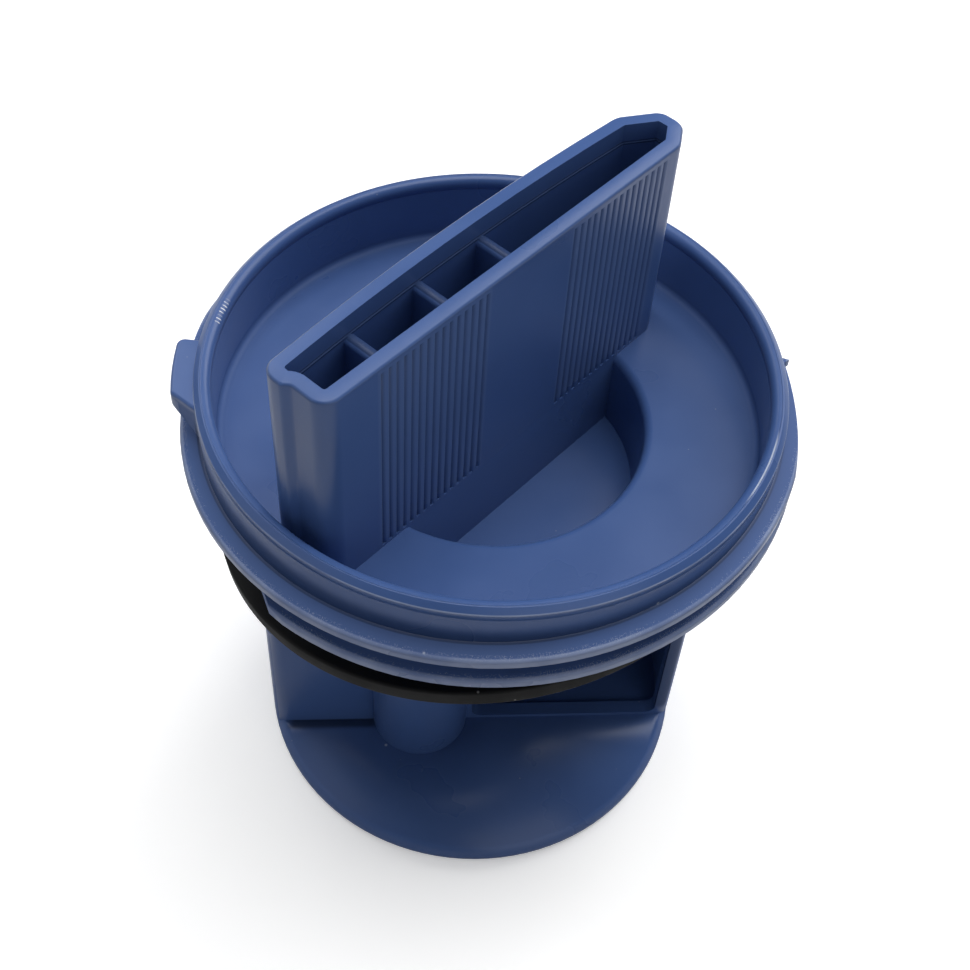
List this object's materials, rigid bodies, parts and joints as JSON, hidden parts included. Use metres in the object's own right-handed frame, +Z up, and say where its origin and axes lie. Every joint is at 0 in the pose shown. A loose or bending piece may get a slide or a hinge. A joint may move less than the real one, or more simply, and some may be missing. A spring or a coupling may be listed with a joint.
{
  "type": "washing machine pump filter insert",
  "caption": "Screw-in pump filter insert with a hollow grip bar across a dished head, a coarse outer thread, a round catch body with a foot disc and a loose rubber seal ring.",
  "frame": {"origin": "on the screw axis at the underside of the foot disc", "axes": "+Z up along the screw axis towards the grip bar, X along the grip bar"},
  "size_m": [0.0756, 0.0756, 0.093],
  "materials": {
    "moulding": "satin",
    "seal": "matte"
  },
  "bodies": {
    "root": {"filter_insert": "moulding", "seal_ring": "seal"}
  },
  "joints": []
}
